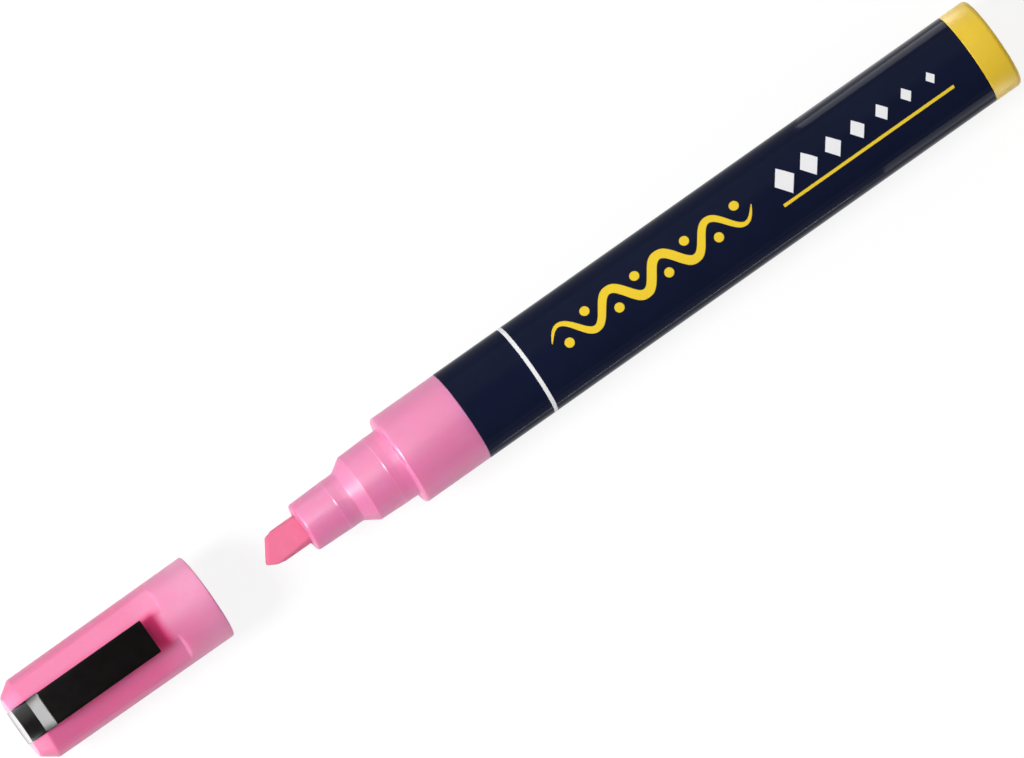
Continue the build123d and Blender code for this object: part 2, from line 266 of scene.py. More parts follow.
def skin(mesh, rings, closed):
    """Join rings of points, some of them single points on the axis, by faces in a bmesh."""
    made = [[mesh.verts.new(point) for point in ring] for ring in rings]
    pairs = list(zip(made, made[1:]))
    if closed:
        pairs.append((made[-1], made[0]))
    for first, second in pairs:
        count = max(len(first), len(second))
        if count == 1:
            continue
        for index in range(count):
            after = (index + 1) % count
            if len(first) == 1:
                mesh.faces.new((first[0], second[index], second[after]))
            elif len(second) == 1:
                mesh.faces.new((first[index], second[0], first[after]))
            else:
                mesh.faces.new((first[index], second[index], second[after], first[after]))
    return made


def piece(name, mesh):
    """Make a smooth-shaded object of a bmesh, with creases left sharp."""
    bmesh.ops.recalc_face_normals(mesh, faces=mesh.faces)
    data = bpy.data.meshes.new(name)
    mesh.to_mesh(data)
    mesh.free()
    data.shade_smooth()
    data.set_sharp_from_angle(angle=smooth_angle)
    made = bpy.data.objects.new(name, data)
    bpy.context.scene.collection.objects.link(made)
    return made


def lathe(name, corners, extra_angles=(), reshape=None):
    """Turn a closed outline of (x, radius, rounding) corners round the marker's axis."""
    angles = {2 * math.pi * step / ring_steps for step in range(ring_steps)}
    angles = sorted(angles | {angle % (2 * math.pi) for angle in extra_angles})
    rings = []
    for x, r in rounded(corners):
        if r == 0:
            rings.append([place(x, 0, 0)])
        elif reshape:
            rings.append([place(x, angle, reshape(x, r, angle)) for angle in angles])
        else:
            rings.append([place(x, angle, r) for angle in angles])
    mesh = bmesh.new()
    skin(mesh, rings, closed=True)
    return piece(name, mesh)


def bead(x, r):
    """Give the corners of a low bead that the cap seals on, steep in front and long behind."""
    return [
        (x - bead_front, r, bead_rounding),
        (x, r + bead_height, bead_rounding),
        (x + bead_back, r, bead_rounding),
    ]


def taper(x, start, end):
    """Give the radius at x on a taper between two (x, radius) points."""
    return start[1] + (x - start[0]) / (end[0] - start[0]) * (end[1] - start[1])


def finish_piece(made, node_names, body, material):
    """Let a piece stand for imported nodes, ride on their body and take its material."""
    made.data.materials.append(material)
    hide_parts(*node_names)
    if body:
        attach(made, body)


def combine(made, tool, operation):
    """Cut a piece by another one, or keep only what both share, and drop the other one."""
    change = made.modifiers.new("change", "BOOLEAN")
    change.operation = operation
    change.solver = "EXACT"
    change.object = tool
    apply_modifiers(made)
    bpy.data.objects.remove(tool)


def carve(made, low, high):
    """Cut a box, given by two corners in millimetres, out of a piece."""
    mesh = bmesh.new()
    bmesh.ops.create_cube(mesh, size=1)
    middle, size = (Vector(low) + Vector(high)) / 2, Vector(high) - Vector(low)
    bmesh.ops.transform(mesh, verts=mesh.verts, matrix=Matrix.LocRotScale(middle * MM, None, size * MM))
    combine(made, piece("cutter", mesh), "DIFFERENCE")


def apply_modifiers(made):
    """Put what a piece's modifiers make into its mesh."""
    bpy.context.view_layer.update()
    seen = made.evaluated_get(bpy.context.evaluated_depsgraph_get())
    data = bpy.data.meshes.new_from_object(seen)
    made.modifiers.clear()
    old, made.data = made.data, data
    data.name = made.name
    bpy.data.meshes.remove(old)


class Field:
    """A number that varies over a surface, worked out by math nodes."""

    def __init__(self, tree, socket):
        self.tree = tree
        self.socket = socket

    def math(self, operation, *others):
        """Work on this field, and on other fields or numbers, by one math node."""
        node = self.tree.nodes.new("ShaderNodeMath")
        node.operation = operation
        for slot, value in zip(node.inputs, (self, *others)):
            if isinstance(value, Field):
                self.tree.links.new(value.socket, slot)
            else:
                slot.default_value = value
        return Field(self.tree, node.outputs[0])

    def __add__(self, other):
        return self.math("ADD", other)

    def __sub__(self, other):
        return self.math("SUBTRACT", other)

    def __mul__(self, other):
        return self.math("MULTIPLY", other)

    def __truediv__(self, other):
        return self.math("DIVIDE", other)

    def __abs__(self):
        return self.math("ABSOLUTE")

    def below(self, limit, blur):
        """Give 1 well below a limit and 0 well above it, with a short ramp between."""
        if isinstance(limit, Field):
            return (self - limit).below(0, blur)
        node = self.tree.nodes.new("ShaderNodeMapRange")
        self.tree.links.new(self.socket, node.inputs["Value"])
        node.inputs["From Min"].default_value = limit - blur
        node.inputs["From Max"].default_value = limit + blur
        node.inputs["To Min"].default_value = 1
        node.inputs["To Max"].default_value = 0
        return Field(self.tree, node.outputs["Result"])

    def spread(self, low, high):
        """Map 0 to 1 on a range."""
        return self * (high - low) + low


class Surface:
    """A procedural material with one principled shader."""

    def __init__(self, name, **constants):
        self.material = bpy.data.materials.new(name)
        self.material.use_nodes = True
        self.tree = self.material.node_tree
        self.shader = self.tree.nodes["Principled BSDF"]
        for socket, value in constants.items():
            self.shader.inputs[socket.replace("_", " ")].default_value = value
        self.coordinates = self.tree.nodes.new("ShaderNodeTexCoord").outputs["Object"]

    def axes(self):
        """Give the three coordinates in millimetres as fields."""
        node = self.tree.nodes.new("ShaderNodeSeparateXYZ")
        self.tree.links.new(self.coordinates, node.inputs[0])
        return [Field(self.tree, socket) / MM for socket in node.outputs]

    def noise(self, grain, detail=3.0, stretch=(1, 1, 1)):
        """Give a noise whose grains are so many millimetres across, times a stretch along each axis."""
        scale = self.tree.nodes.new("ShaderNodeVectorMath")
        scale.operation = "MULTIPLY"
        scale.inputs[1].default_value = [1 / (grain * MM * share) for share in stretch]
        self.tree.links.new(self.coordinates, scale.inputs[0])
        node = self.tree.nodes.new("ShaderNodeTexNoise")
        node.inputs["Scale"].default_value = 1
        node.inputs["Detail"].default_value = detail
        self.tree.links.new(scale.outputs[0], node.inputs["Vector"])
        return Field(self.tree, node.outputs["Fac"])

    def mix(self, share, first, second):
        """Mix two colours, each a tuple or a socket, by a field."""
        node = self.tree.nodes.new("ShaderNodeMix")
        node.data_type = "RGBA"
        self.tree.links.new(share.socket, node.inputs["Factor"])
        for slot, colour in ((node.inputs[6], first), (node.inputs[7], second)):
            if isinstance(colour, tuple):
                slot.default_value = (*colour, 1)
            else:
                self.tree.links.new(colour, slot)
        return node.outputs[2]

    def use(self, socket_name, value):
        """Link a field or a colour socket to the shader."""
        socket = value.socket if isinstance(value, Field) else value
        self.tree.links.new(socket, self.shader.inputs[socket_name])

    def bump(self, height, depth):
        """Raise the surface by a field times a depth in millimetres."""
        node = self.tree.nodes.new("ShaderNodeBump")
        node.inputs["Distance"].default_value = depth * MM
        self.tree.links.new(height.socket, node.inputs["Height"])
        self.tree.links.new(node.outputs["Normal"], self.shader.inputs["Normal"])


# Moulded plastics: how many times coarser than the skin's grain their clouds and gloss are
cloud_coarseness = 12
gloss_coarseness = 5

# Pink plastic: deeper towards the cap's closed end, with the clip's shadow painted on the cap under the clip
# and just past its free end, rubbed along ridges
thick_blur = 5.0
thick_pinks = ((0.75, 0.12, 0.315), (0.78, 0.135, 0.335))
thin_pink_gain = 1.04
# Painted shadow of the clip: how far past its free end it reaches, its blurs, its deep pink and its dimmed
# gloss
shadow_reach = 2.6
shadow_end_blur = 0.7
shadow_side_blur = 0.6
upper_blur = 1.0
shadow_pink = (0.88, 0.07, 0.25)
shadow_gloss = (0.6, 0.05, 0.15)
full_gloss = (1, 1, 1)
rub_blur = 0.1
bead_rub = 0.3
collar_rub = 0.35
rub_polish = 0.12


def moulded(name, pale, deep, rough, grain, depth, **constants):
    """Make a moulded plastic: faint clouds in its colour, uneven gloss and a fine skin."""
    surface = Surface(name, **constants)
    clouds = surface.noise(grain * cloud_coarseness)
    surface.use("Base Color", surface.mix(clouds, deep, pale))
    surface.use("Roughness", surface.noise(grain * gloss_coarseness).spread(*rough))
    surface.bump(surface.noise(grain), depth)
    return surface.material


def pink_plastic(name, pink):
    """Satin pink, deeper where the cap's wall is thick, with a painted shadow of the clip: deep pink and
    dimmed gloss on the cap's top under the clip and just past its free end.
    """
    surface = Surface(
        name, Specular_IOR_Level=0.9,
        Subsurface_Weight=0.6, Subsurface_Radius=(1.8, 0.15, 0.35), Subsurface_Scale=0.9 * MM,
    )
    x, y, z = surface.axes()
    clouds = surface.noise(3.0)
    thin_pink = surface.mix(clouds, pink, tuple(part * thin_pink_gain for part in pink))
    thick_pink = surface.mix(clouds, *thick_pinks)
    wall_pink = surface.mix(x.below(flat_end_x, thick_blur), thin_pink, thick_pink)
    upper_side = (z * -1).below(-axis_z, upper_blur)
    # Painted shadow of the clip: deep pink with dimmed gloss on the upper side under the clip and just past
    # its free end
    painted_shadow = x.below(clip_end_x + shadow_reach, shadow_end_blur) * abs(y).below(clip_half_width, shadow_side_blur)
    painted_shadow = painted_shadow * upper_side
    surface.use("Base Color", surface.mix(painted_shadow, wall_pink, shadow_pink))
    surface.use("Specular Tint", surface.mix(painted_shadow, full_gloss, shadow_gloss))
    rubbed = abs(x - nozzle_bead_x).below(bead_rub, rub_blur) + abs(x - seat_bead_x).below(bead_rub, rub_blur)
    rubbed = rubbed + abs(x - collar_x - collar_rub).below(collar_rub, rub_blur)
    surface.use("Roughness", surface.noise(1.2).spread(0.38, 0.46) - rubbed * rub_polish)
    surface.bump(surface.noise(0.25), 0.004)
    return surface.material


def yellow_plastic():
    """Yellow of the tail plug."""
    return moulded(
        "plug_satin", pale=(0.85, 0.58, 0.035), deep=(0.80, 0.53, 0.03),
        rough=(0.32, 0.44), grain=0.25, depth=0.004, Specular_IOR_Level=0.3,
        Subsurface_Weight=0.08, Subsurface_Radius=(1.0, 0.7, 0.2), Subsurface_Scale=0.8 * MM,
    )


def black_plastic():
    """Glossy black of the pocket clip."""
    return moulded(
        "clip_gloss", pale=(0.0042, 0.0032, 0.003), deep=(0.0026, 0.002, 0.0019),
        rough=(0.16, 0.24), grain=0.3, depth=0.003, Specular_IOR_Level=0.25,
    )


def natural_plastic(name):
    """Milky plastic of the valve and the cap's liner."""
    return moulded(
        name, pale=(0.82, 0.82, 0.79), deep=(0.76, 0.76, 0.73),
        rough=(0.35, 0.5), grain=0.3, depth=0.004,
        Subsurface_Weight=0.2, Subsurface_Radius=(1.0, 1.0, 0.9), Subsurface_Scale=1.0 * MM,
    )


def seal_rubber():
    """Matt black rubber of the valve's seal."""
    return moulded(
        "seal_matt", pale=(0.05, 0.05, 0.05), deep=(0.03, 0.03, 0.03),
        rough=(0.7, 0.9), grain=0.15, depth=0.01,
    )


def drawn_steel():
    """Spring wire, with fine marks of drawing."""
    surface = Surface("spring_wire", Metallic=1.0)
    marks = surface.noise(0.06, stretch=(1, 6, 6))
    surface.use("Base Color", surface.mix(marks, (0.48, 0.48, 0.49), (0.62, 0.62, 0.63)))
    surface.use("Roughness", marks.spread(0.22, 0.4))
    surface.bump(marks, 0.002)
    return surface.material


def polished_steel():
    """Mixing ball, polished and faintly scuffed."""
    surface = Surface("ball_polish", Metallic=1.0)
    scuffs = surface.noise(0.4, detail=6.0)
    surface.use("Base Color", surface.mix(scuffs, (0.58, 0.58, 0.59), (0.66, 0.66, 0.67)))
    surface.use("Roughness", scuffs.spread(0.08, 0.24))
    surface.bump(scuffs, 0.001)
    return surface.material


def felt():
    """Pressed pink fibre of the nib, its strands along the marker."""
    surface = Surface("nib_fibre", Sheen_Weight=0.1, Sheen_Roughness=0.5, Specular_IOR_Level=0.12)
    strands = surface.noise(0.12, stretch=(14, 1, 1))
    clouds = surface.noise(1.6)
    body = surface.mix(clouds, (0.77, 0.165, 0.29), (0.82, 0.19, 0.32))
    surface.use("Base Color", surface.mix(strands * 0.35, body, (0.71, 0.12, 0.23)))
    surface.use("Roughness", strands.spread(0.7, 0.95))
    surface.bump(strands, 0.02)
    return surface.material


# Barrel print: a white ring, and a plain ornament of yellow and white figures on the upper side
ring_x = 3.5
ring_width = 0.62
print_blur = 0.04
print_cut = 0.001
wave_start_x = 8.0
wave_length = 9.0
wave_count = 4
wave_height = 1.9
wave_width = 1.5
dot_r = 0.75
dot_height = 1.3
lozenge_start_x = 50.0
lozenge_pitch = 4.4
lozenge_count = 7
lozenge_half_length = 1.75
lozenge_half_height = 2.3
lozenge_shrink = 0.45
row_half_length = 0.51
rule_height = -3.1
rule_width = 0.5
print_middle = 1.0


def barrel_gloss():
    """Glossy navy with its print."""
    surface = Surface("barrel_gloss", Specular_IOR_Level=0.02)
    x, y, z = surface.axes()
    around = y.math("ARCTAN2", z - axis_z) * barrel_r
    up = around - print_middle

    ring = abs(x - ring_x).below(ring_width / 2, print_blur)

    run = x - wave_start_x
    share = run / (wave_length * wave_count)
    phase = run * (2 * math.pi / wave_length)
    slope = phase.math("COSINE") * (wave_height * 2 * math.pi / wave_length)
    steepness = (slope * slope + 1).math("SQRT")
    stroke = (share * math.pi).math("SINE").math("MAXIMUM", 0).math("SQRT") * (wave_width / 2)
    away = abs(up - phase.math("SINE") * wave_height) / steepness
    within = abs(share - 0.5).below(0.5, print_cut)
    wave = away.below(stroke, print_blur) * within

    half_wave = wave_length / 2
    dot_x = (run - half_wave / 2).math("WRAP", half_wave / 2, -half_wave / 2)
    dot_up = up + phase.math("SINE").math("SIGN") * dot_height
    dot = (dot_x * dot_x + dot_up * dot_up).math("SQRT").below(dot_r, print_blur) * within

    along = x - lozenge_start_x
    lozenge_x = along.math("WRAP", lozenge_pitch / 2, -lozenge_pitch / 2)
    number = (along - lozenge_x) / (lozenge_pitch * (lozenge_count - 1))
    size = number.spread(1, lozenge_shrink)
    reach_out = abs(lozenge_x) / lozenge_half_length + abs(up) / lozenge_half_height
    in_row = abs(number - 0.5).below(row_half_length, print_cut)
    lozenge = reach_out.below(size, print_blur / lozenge_half_length) * in_row

    rule = abs(up - rule_height).below(rule_width / 2, print_blur) * in_row

    yellow = wave.math("MAXIMUM", dot).math("MAXIMUM", rule)
    white = ring.math("MAXIMUM", lozenge)
    ink = yellow.math("MAXIMUM", white)
    clouds = surface.noise(6.0)
    speckle = surface.noise(0.15)
    navy = surface.mix(clouds, (0.0062, 0.0088, 0.0265), (0.0085, 0.0122, 0.0355))
    yellow_ink = surface.mix(speckle, (0.86, 0.58, 0.03), (0.93, 0.68, 0.05))
    white_ink = surface.mix(speckle, (0.84, 0.84, 0.86), (0.93, 0.93, 0.94))
    printed = surface.mix(white, surface.mix(yellow, navy, yellow_ink), white_ink)
    surface.use("Base Color", printed)
    surface.use("Roughness", surface.noise(1.5).spread(0.06, 0.11) + ink * 0.2)
    surface.bump(speckle * 0.1 + ink, 0.012)
    return surface.material


def barrel_piece():
    """Tube with a printed film round it, whose overlap shows as two fine edges on one side."""
    first, last = (math.radians(angle) % (2 * math.pi) for angle in sorted(film_edge_angles))
    half_edge = math.radians(film_edge_width) / 2
    edges = [edge + offset for edge in (first, last) for offset in (-half_edge, half_edge)]

    def with_film(x, r, angle):
        raised = first - half_edge / 2 < angle < last + half_edge / 2
        return r if raised or r < bore_r + seam_rounding else r - film_height

    return lathe("barrel_tube", [
        (barrel_x, bore_r, 0),
        (plug_x, bore_r, 0),
        (plug_x, barrel_r, seam_rounding),
        (barrel_x, barrel_r, seam_rounding),
    ], edges, with_film)


def plug_piece():
    """Closed cup whose head is flush with the barrel."""
    return lathe("plug_cup", [
        (plug_front_x, plug_bore_r, 0),
        (plug_front_x, insert_r - lead_in, 0),
        (plug_front_x + lead_in, insert_r, 0),
        (plug_x, insert_r, 0),
        (plug_x, plug_head_r, seam_rounding),
        (tail_x, plug_head_r, plug_rounding),
        (tail_x, 0, 0),
        (tail_x - plug_end_wall, 0, 0),
        (tail_x - plug_end_wall, plug_bore_r, plug_rounding),
    ])


def nose_piece():
    """Stepped nose, with the ribs that guide the nib in its bore."""
    half_rib = math.asin(rib_width / 2 / guide_r)
    lead_angle = half_rib * rib_flare
    middles = [math.pi / 2 + 2 * math.pi * number / rib_count for number in range(rib_count)]
    offsets = (-lead_angle, -half_rib, half_rib, lead_angle)
    edges = [middle + offset for middle in middles for offset in offsets]

    def with_ribs(x, r, angle):
        if r != guide_r or x < rib_x + rib_lead / 2:
            return r
        turn = 2 * math.pi / rib_count
        away = abs((angle - math.pi / 2 + turn / 2) % turn - turn / 2)
        return rib_r if away < (half_rib + lead_angle) / 2 else r

    seat_bead_r = taper(seat_bead_x, (cone_rear_x, seat_front_r), (collar_x, seat_rear_r))
    nozzle_bead_r = taper(nozzle_bead_x, (mouth_x, nozzle_front_r), (nozzle_rear_x, nozzle_rear_r))
    return lathe("nose_shell", [
        (mouth_x - mouth_dome, lip_r, lip_rounding),
        (mouth_x, nozzle_front_r, mouth_rounding),
        *bead(nozzle_bead_x, nozzle_bead_r),
        (nozzle_rear_x, nozzle_rear_r, nozzle_root_rounding),
        (cone_rear_x, seat_front_r, cone_rounding),
        *bead(seat_bead_x, seat_bead_r),
        (collar_x, seat_rear_r, seat_foot_rounding),
        (collar_x, collar_r, collar_rounding),
        (barrel_x, collar_r, seam_rounding),
        (barrel_x, insert_r, 0),
        (skirt_rear_x - lead_in, insert_r, 0),
        (skirt_rear_x, insert_r - lead_in, 0),
        (skirt_rear_x, valve_bore_r, 0),
        (shoulder_x, valve_bore_r, 0),
        (shoulder_x, chamber_r, 0),
        (chamber_x, chamber_r, 0),
        (chamber_x, guide_r, 0),
        (rib_x + rib_lead, guide_r, 0),
        (rib_x, guide_r, 0),
        (mouth_x + lip_length + lip_rounding, guide_r, 0),
        (mouth_x + lip_length, lip_r, 0),
    ], edges, with_ribs)


def prism(name, outline, depth, matrix):
    """Push a closed outline out to both sides of its plane and set it by a matrix, in millimetres."""
    mesh = bmesh.new()
    rings = [[Vector((*point, side * depth)) for point in outline] for side in (-1, 1)]
    made = skin(mesh, rings, closed=False)
    mesh.faces.new(made[0])
    mesh.faces.new(list(reversed(made[1])))
    bmesh.ops.transform(mesh, verts=mesh.verts, matrix=Matrix.Scale(MM, 4) @ matrix)
    return piece(name, mesh)


def nib_piece():
    """Felt nib: a round bar cut to a slanted chisel, softened at its edges and drawn out in strands."""
    made = lathe("nib_felt", [
        (nib_tip_x - nib_spare, 0, 0),
        (nib_tip_x - nib_spare, nib_r, 0),
        (nib_rear_x - nib_rear_chamfer, nib_r, 0),
        (nib_rear_x, nib_r - nib_rear_chamfer, 0),
        (nib_rear_x, 0, 0),
    ])
    short_x, short_y, short_rounding = nib_short_corner
    long_x, long_y, long_rounding = nib_long_corner
    beyond = nib_rear_x - nib_tip_x + nib_spare
    above = rounded([
        (beyond, -nib_r * 2, 0),
        (beyond, nib_r * 2, 0),
        (nib_short_taper, nib_r * 2, 0),
        (nib_short_taper, nib_r, nib_taper_rounding),
        (short_x, short_y, short_rounding),
        (long_x, long_y, long_rounding),
        (*nib_long_bend, nib_taper_rounding),
        (nib_long_taper, -nib_r, nib_taper_rounding),
        (nib_long_taper, -nib_r * 2, 0),
    ])
    across = prism("cutter", above, nib_r * 2, Matrix.Translation((nib_tip_x, 0, axis_z)))
    combine(made, across, "INTERSECT")
    edge = Vector((long_x - short_x, long_y - short_y, 0)).normalized()
    inward = Vector((-edge.y, edge.x, 0))
    wedge = rounded([
        (0, -nib_edge_thickness / 2, nib_edge_rounding),
        (nib_wedge_length, -nib_r, 0),
        (beyond, -nib_r, 0),
        (beyond, nib_r, 0),
        (nib_wedge_length, nib_r, 0),
        (0, nib_edge_thickness / 2, nib_edge_rounding),
    ])
    turned = Matrix((inward, (0, 0, 1), edge)).transposed().to_4x4()
    corner = Matrix.Translation((nib_tip_x + long_x, long_y, axis_z))
    combine(made, prism("cutter", wedge, beyond, corner @ turned), "INTERSECT")

    made.data.transform(Matrix.Scale(1 / MM, 4))
    remesh = made.modifiers.new("remesh", "REMESH")
    remesh.mode = "VOXEL"
    remesh.voxel_size = nib_voxel
    soften = made.modifiers.new("soften", "SMOOTH")
    soften.iterations = nib_smoothings
    apply_modifiers(made)
    normals = [vertex.normal.copy() for vertex in made.data.vertices]
    for vertex, normal in zip(made.data.vertices, normals):
        along, across, up = vertex.co
        strand = noise.noise(Vector((along * fibre_stretch, across * fibre_scale, up * fibre_scale)))
        vertex.co += normal * strand * fibre_height
    made.data.transform(Matrix.Scale(MM, 4))
    made.data.shade_smooth()
    return made


def half_flat(r, depth):
    """Give (angle, radius) points from a flat's middle out past its softened edge, on a round of radius r."""
    distance = r - depth
    half_width = math.sqrt(r * r - distance * distance)
    edge_angle = math.acos(distance / r)
    inner = Vector((distance, half_width - flat_edge))
    corner = Vector((distance, half_width))
    outer_angle = edge_angle + flat_edge / r
    outer = Vector((math.cos(outer_angle), math.sin(outer_angle))) * r
    # The middle of a curve from inner to outer that bends at the corner, sunk a little
    groove = inner * 0.25 + corner * 0.5 + outer * 0.25
    groove -= groove.normalized() * flat_groove
    soft = [inner, (inner + groove) / 2, groove, (groove + outer) / 2, outer]
    level = [Vector((distance, inner.y * step / flat_steps)) for step in range(1, flat_steps)]
    return [(math.atan2(point.y, point.x), point.length) for point in level + soft]


def cap_ring(x, r, depth, share, bulge):
    """Give one ring of the cap: four flats of a depth, worn in by a share, and the rounds between them."""
    half = half_flat(r, depth)
    edge_angle = half[-1][0]
    profile = [(-angle, radius) for angle, radius in reversed(half)] + [(0, r - depth)] + half
    points = []
    for number, middle in enumerate(flat_angles):
        for angle, radius in profile:
            shift = bulge * (1 - (angle / edge_angle) ** 2)
            points.append(place(x + shift, math.radians(middle) + angle, r + (radius - r) * share))
        apart = (flat_angles[(number + 1) % len(flat_angles)] - middle) % 360
        start = math.radians(middle) + edge_angle
        end = math.radians(middle + apart) - edge_angle
        steps = round_steps[number]
        points += [place(x, start + (end - start) * step / steps, r) for step in range(1, steps)]
    return points


def cap_piece():
    """Cap shell: flats over its chamfered end, which run out before its mouth, and a pocket for the clip."""
    outside = rounded([
        (cap_end_x, 0, 0),
        (cap_end_x, cap_end_r, cap_end_rounding),
        (cap_chamfer_x, cap_top_r, cap_chamfer_rounding),
        (cap_mouth_x, cap_mouth_r, cap_mouth_rounding),
        (cap_mouth_x, cap_bore_r, cap_lip_rounding),
        (cap_bore_end_x, cap_bore_r, 0),
        (liner_bore_x, liner_bore_r, 0),
        (crown_x, liner_bore_r, 0),
        (crown_x, 0, 0),
    ])
    chamfer_end_x = cap_chamfer_x + cap_chamfer_rounding
    shoulder = max(index for index, point in enumerate(outside) if point.x < chamfer_end_x)
    runout_x = flat_end_x - flat_runout
    runout_xs = [runout_x + flat_runout * step / runout_steps for step in range(runout_steps + 1)]
    runout_xs.append(flat_end_x + flat_bulge + flat_clearance)
    shoulder_place, mouth_place = (cap_chamfer_x, cap_top_r), (cap_mouth_x, cap_mouth_r)
    runout = [Vector((x, taper(x, shoulder_place, mouth_place))) for x in runout_xs]
    rings = []
    for x, r in outside[: shoulder + 1] + runout + outside[shoulder + 1 :]:
        depth = flat_depth * min(1, r / cap_end_r) if r < cap_top_r else r - flat_r
        worn = min(1, max(0, (flat_end_x - x) / flat_runout))
        inside = (x, r) in [tuple(point) for point in outside[shoulder + 1 :]]
        share = 0 if inside else worn * worn * (3 - 2 * worn)
        in_runout = runout_x <= x <= flat_end_x and not inside
        bulge = flat_bulge * (x - flat_end_x + flat_runout) / flat_runout if in_runout else 0
        if r == 0:
            rings.append([place(x, 0, 0)])
        else:
            rings.append(cap_ring(x, r, min(depth, r * flat_depth_limit), share, bulge))
    mesh = bmesh.new()
    skin(mesh, rings, closed=True)
    made = piece("cap_body", mesh)
    beyond = cap_mouth_r * 2
    side = clip_half_width + pocket_gap
    front_x, top_z = cap_end_x - beyond, axis_z + beyond
    strap_rear_x = cap_end_x + clip_strap + pocket_gap
    foot_rear_x = clip_foot_x + pocket_end_gap
    carve(made, (front_x, -side, axis_z - beyond), (strap_rear_x, side, top_z))
    carve(made, (front_x, -side, axis_z + clip_floor_r), (foot_rear_x, side, top_z))
    made.data.shade_smooth()
    made.data.set_sharp_from_angle(angle=smooth_angle)
    return made


def liner_piece():
    """Inner cap that seals round the nozzle."""
    return lathe("cap_liner", [
        (liner_mouth_x, liner_seal_r, liner_lip_rounding),
        (liner_mouth_x, liner_r, liner_rim_rounding),
        (crown_x, liner_r, 0),
        (crown_x, 0, 0),
        (liner_floor_x, 0, 0),
        (liner_floor_x, liner_nib_r, liner_floor_rounding),
        (liner_step_x, liner_nib_r, liner_step_rounding),
        (liner_step_x, liner_seal_r, liner_seal_rounding),
    ])


def clip_height(x, height, y):
    """Bring an outline point of the clip down on the cap's round chamfer, to its place at a width y."""
    strap_x = cap_end_x + clip_strap
    blade_x = clip_root_x + clip_ramp
    r = taper(max(cap_end_x, min(x, clip_root_x)), (cap_end_x, cap_end_r), (cap_chamfer_x, cap_top_r))
    share = math.sqrt(r * r - y * y) / r
    if x <= strap_x + pocket_gap / 2:
        return height * share
    if x <= clip_root_x:
        return height * share if height > clip_floor_r + pocket_gap else height
    if x < blade_x and height > cap_top_r - pocket_gap:
        flat = (x - clip_root_x) / clip_ramp
        return height * (share + (1 - share) * flat)
    return height


def inset(outline, distance):
    """Draw a closed outline in by a distance."""
    points = []
    for index, here in enumerate(outline):
        into = (here - outline[index - 1]).normalized()
        out = (outline[(index + 1) % len(outline)] - here).normalized()
        normal = Vector((into.y + out.y, -into.x - out.x)).normalized()
        points.append(here + normal * distance / max(0.5, normal.dot(Vector((out.y, -out.x)))))
    return points


def clip_piece():
    """Pocket clip in one moulding: strap over the cap's end, root, ramp, and blade with a bump below."""
    under_r = clip_top_r - clip_thickness
    strap_x = cap_end_x + clip_strap
    strap_r = taper(strap_x, (cap_end_x, cap_end_r), (cap_chamfer_x, cap_top_r))
    bump_rear_x = clip_end_x - clip_bump_setback
    bump_front_x = bump_rear_x - clip_bump_length
    outline = rounded([
        (strap_x, -strap_r, 0),
        (cap_end_x, -cap_end_r, clip_strap_rounding),
        (cap_end_x, cap_end_r, clip_strap_rounding),
        (clip_root_x, cap_top_r, clip_root_rounding),
        (clip_root_x + clip_ramp, clip_top_r, clip_bend_rounding),
        (clip_end_x, clip_top_r, clip_tip_rounding),
        (clip_end_x, under_r, clip_tip_rounding),
        (bump_rear_x, under_r, clip_bump_foot_rounding),
        ((bump_rear_x + bump_front_x) / 2, under_r - clip_bump_height, clip_bump_rounding),
        (bump_front_x, under_r, clip_bump_foot_rounding),
        (clip_foot_x, under_r, clip_foot_rounding),
        (clip_foot_x, clip_floor_r, clip_floor_rounding),
        (strap_x + pocket_gap * 2, clip_floor_r, 0),
        (strap_x, clip_floor_r - pocket_gap, 0),
    ])
    flat_half = clip_half_width - clip_edge
    slices = []
    for step in range(clip_edge_steps):
        angle = math.pi / 2 * step / clip_edge_steps
        slices.append((-flat_half - clip_edge * math.cos(angle), clip_edge * (1 - math.sin(angle))))
    for step in range(clip_width_steps + 1):
        slices.append((-flat_half + 2 * flat_half * step / clip_width_steps, 0))
    slices += [(-y, drawn) for y, drawn in reversed(slices[:clip_edge_steps])]
    rings = []
    for y, drawn in slices:
        ring = inset(outline, drawn) if drawn else outline
        rings.append([Vector((x, y, axis_z + clip_height(x, height, y))) * MM for x, height in ring])
    mesh = bmesh.new()
    made = skin(mesh, rings, closed=False)
    for corners in tessellate_polygon([rings[0]]):
        mesh.faces.new([made[0][corner] for corner in corners])
        mesh.faces.new([made[-1][corner] for corner in reversed(corners)])
    return piece("clip_moulding", mesh)


def spring_piece():
    """Valve spring: one round wire on a helix."""
    steps = coil_turns * coil_turn_steps
    start_x, end_x = spring_front_x + wire_r, spring_rear_x - wire_r
    rise = (end_x - start_x) / coil_turns / (2 * math.pi)
    turns = [2 * math.pi * side / wire_sides for side in range(wire_sides)]
    rings = []
    for step in range(steps + 1):
        angle = 2 * math.pi * step / coil_turn_steps
        x = start_x + (end_x - start_x) * step / steps
        centre = Vector((x, coil_r * math.sin(angle), axis_z + coil_r * math.cos(angle)))
        outward = Vector((0, math.sin(angle), math.cos(angle)))
        forward = Vector((rise, coil_r * math.cos(angle), -coil_r * math.sin(angle)))
        across = forward.normalized().cross(outward)
        spokes = [outward * math.cos(turn) + across * math.sin(turn) for turn in turns]
        rings.append([(centre + spoke * wire_r) * MM for spoke in spokes])
    mesh = bmesh.new()
    made = skin(mesh, rings, closed=False)
    mesh.faces.new(made[0])
    mesh.faces.new(list(reversed(made[-1])))
    return piece("valve_coil", mesh)


def dress_node(node, material):
    """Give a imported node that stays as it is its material."""
    frame["nodes"][node].material_slots[0].material = material


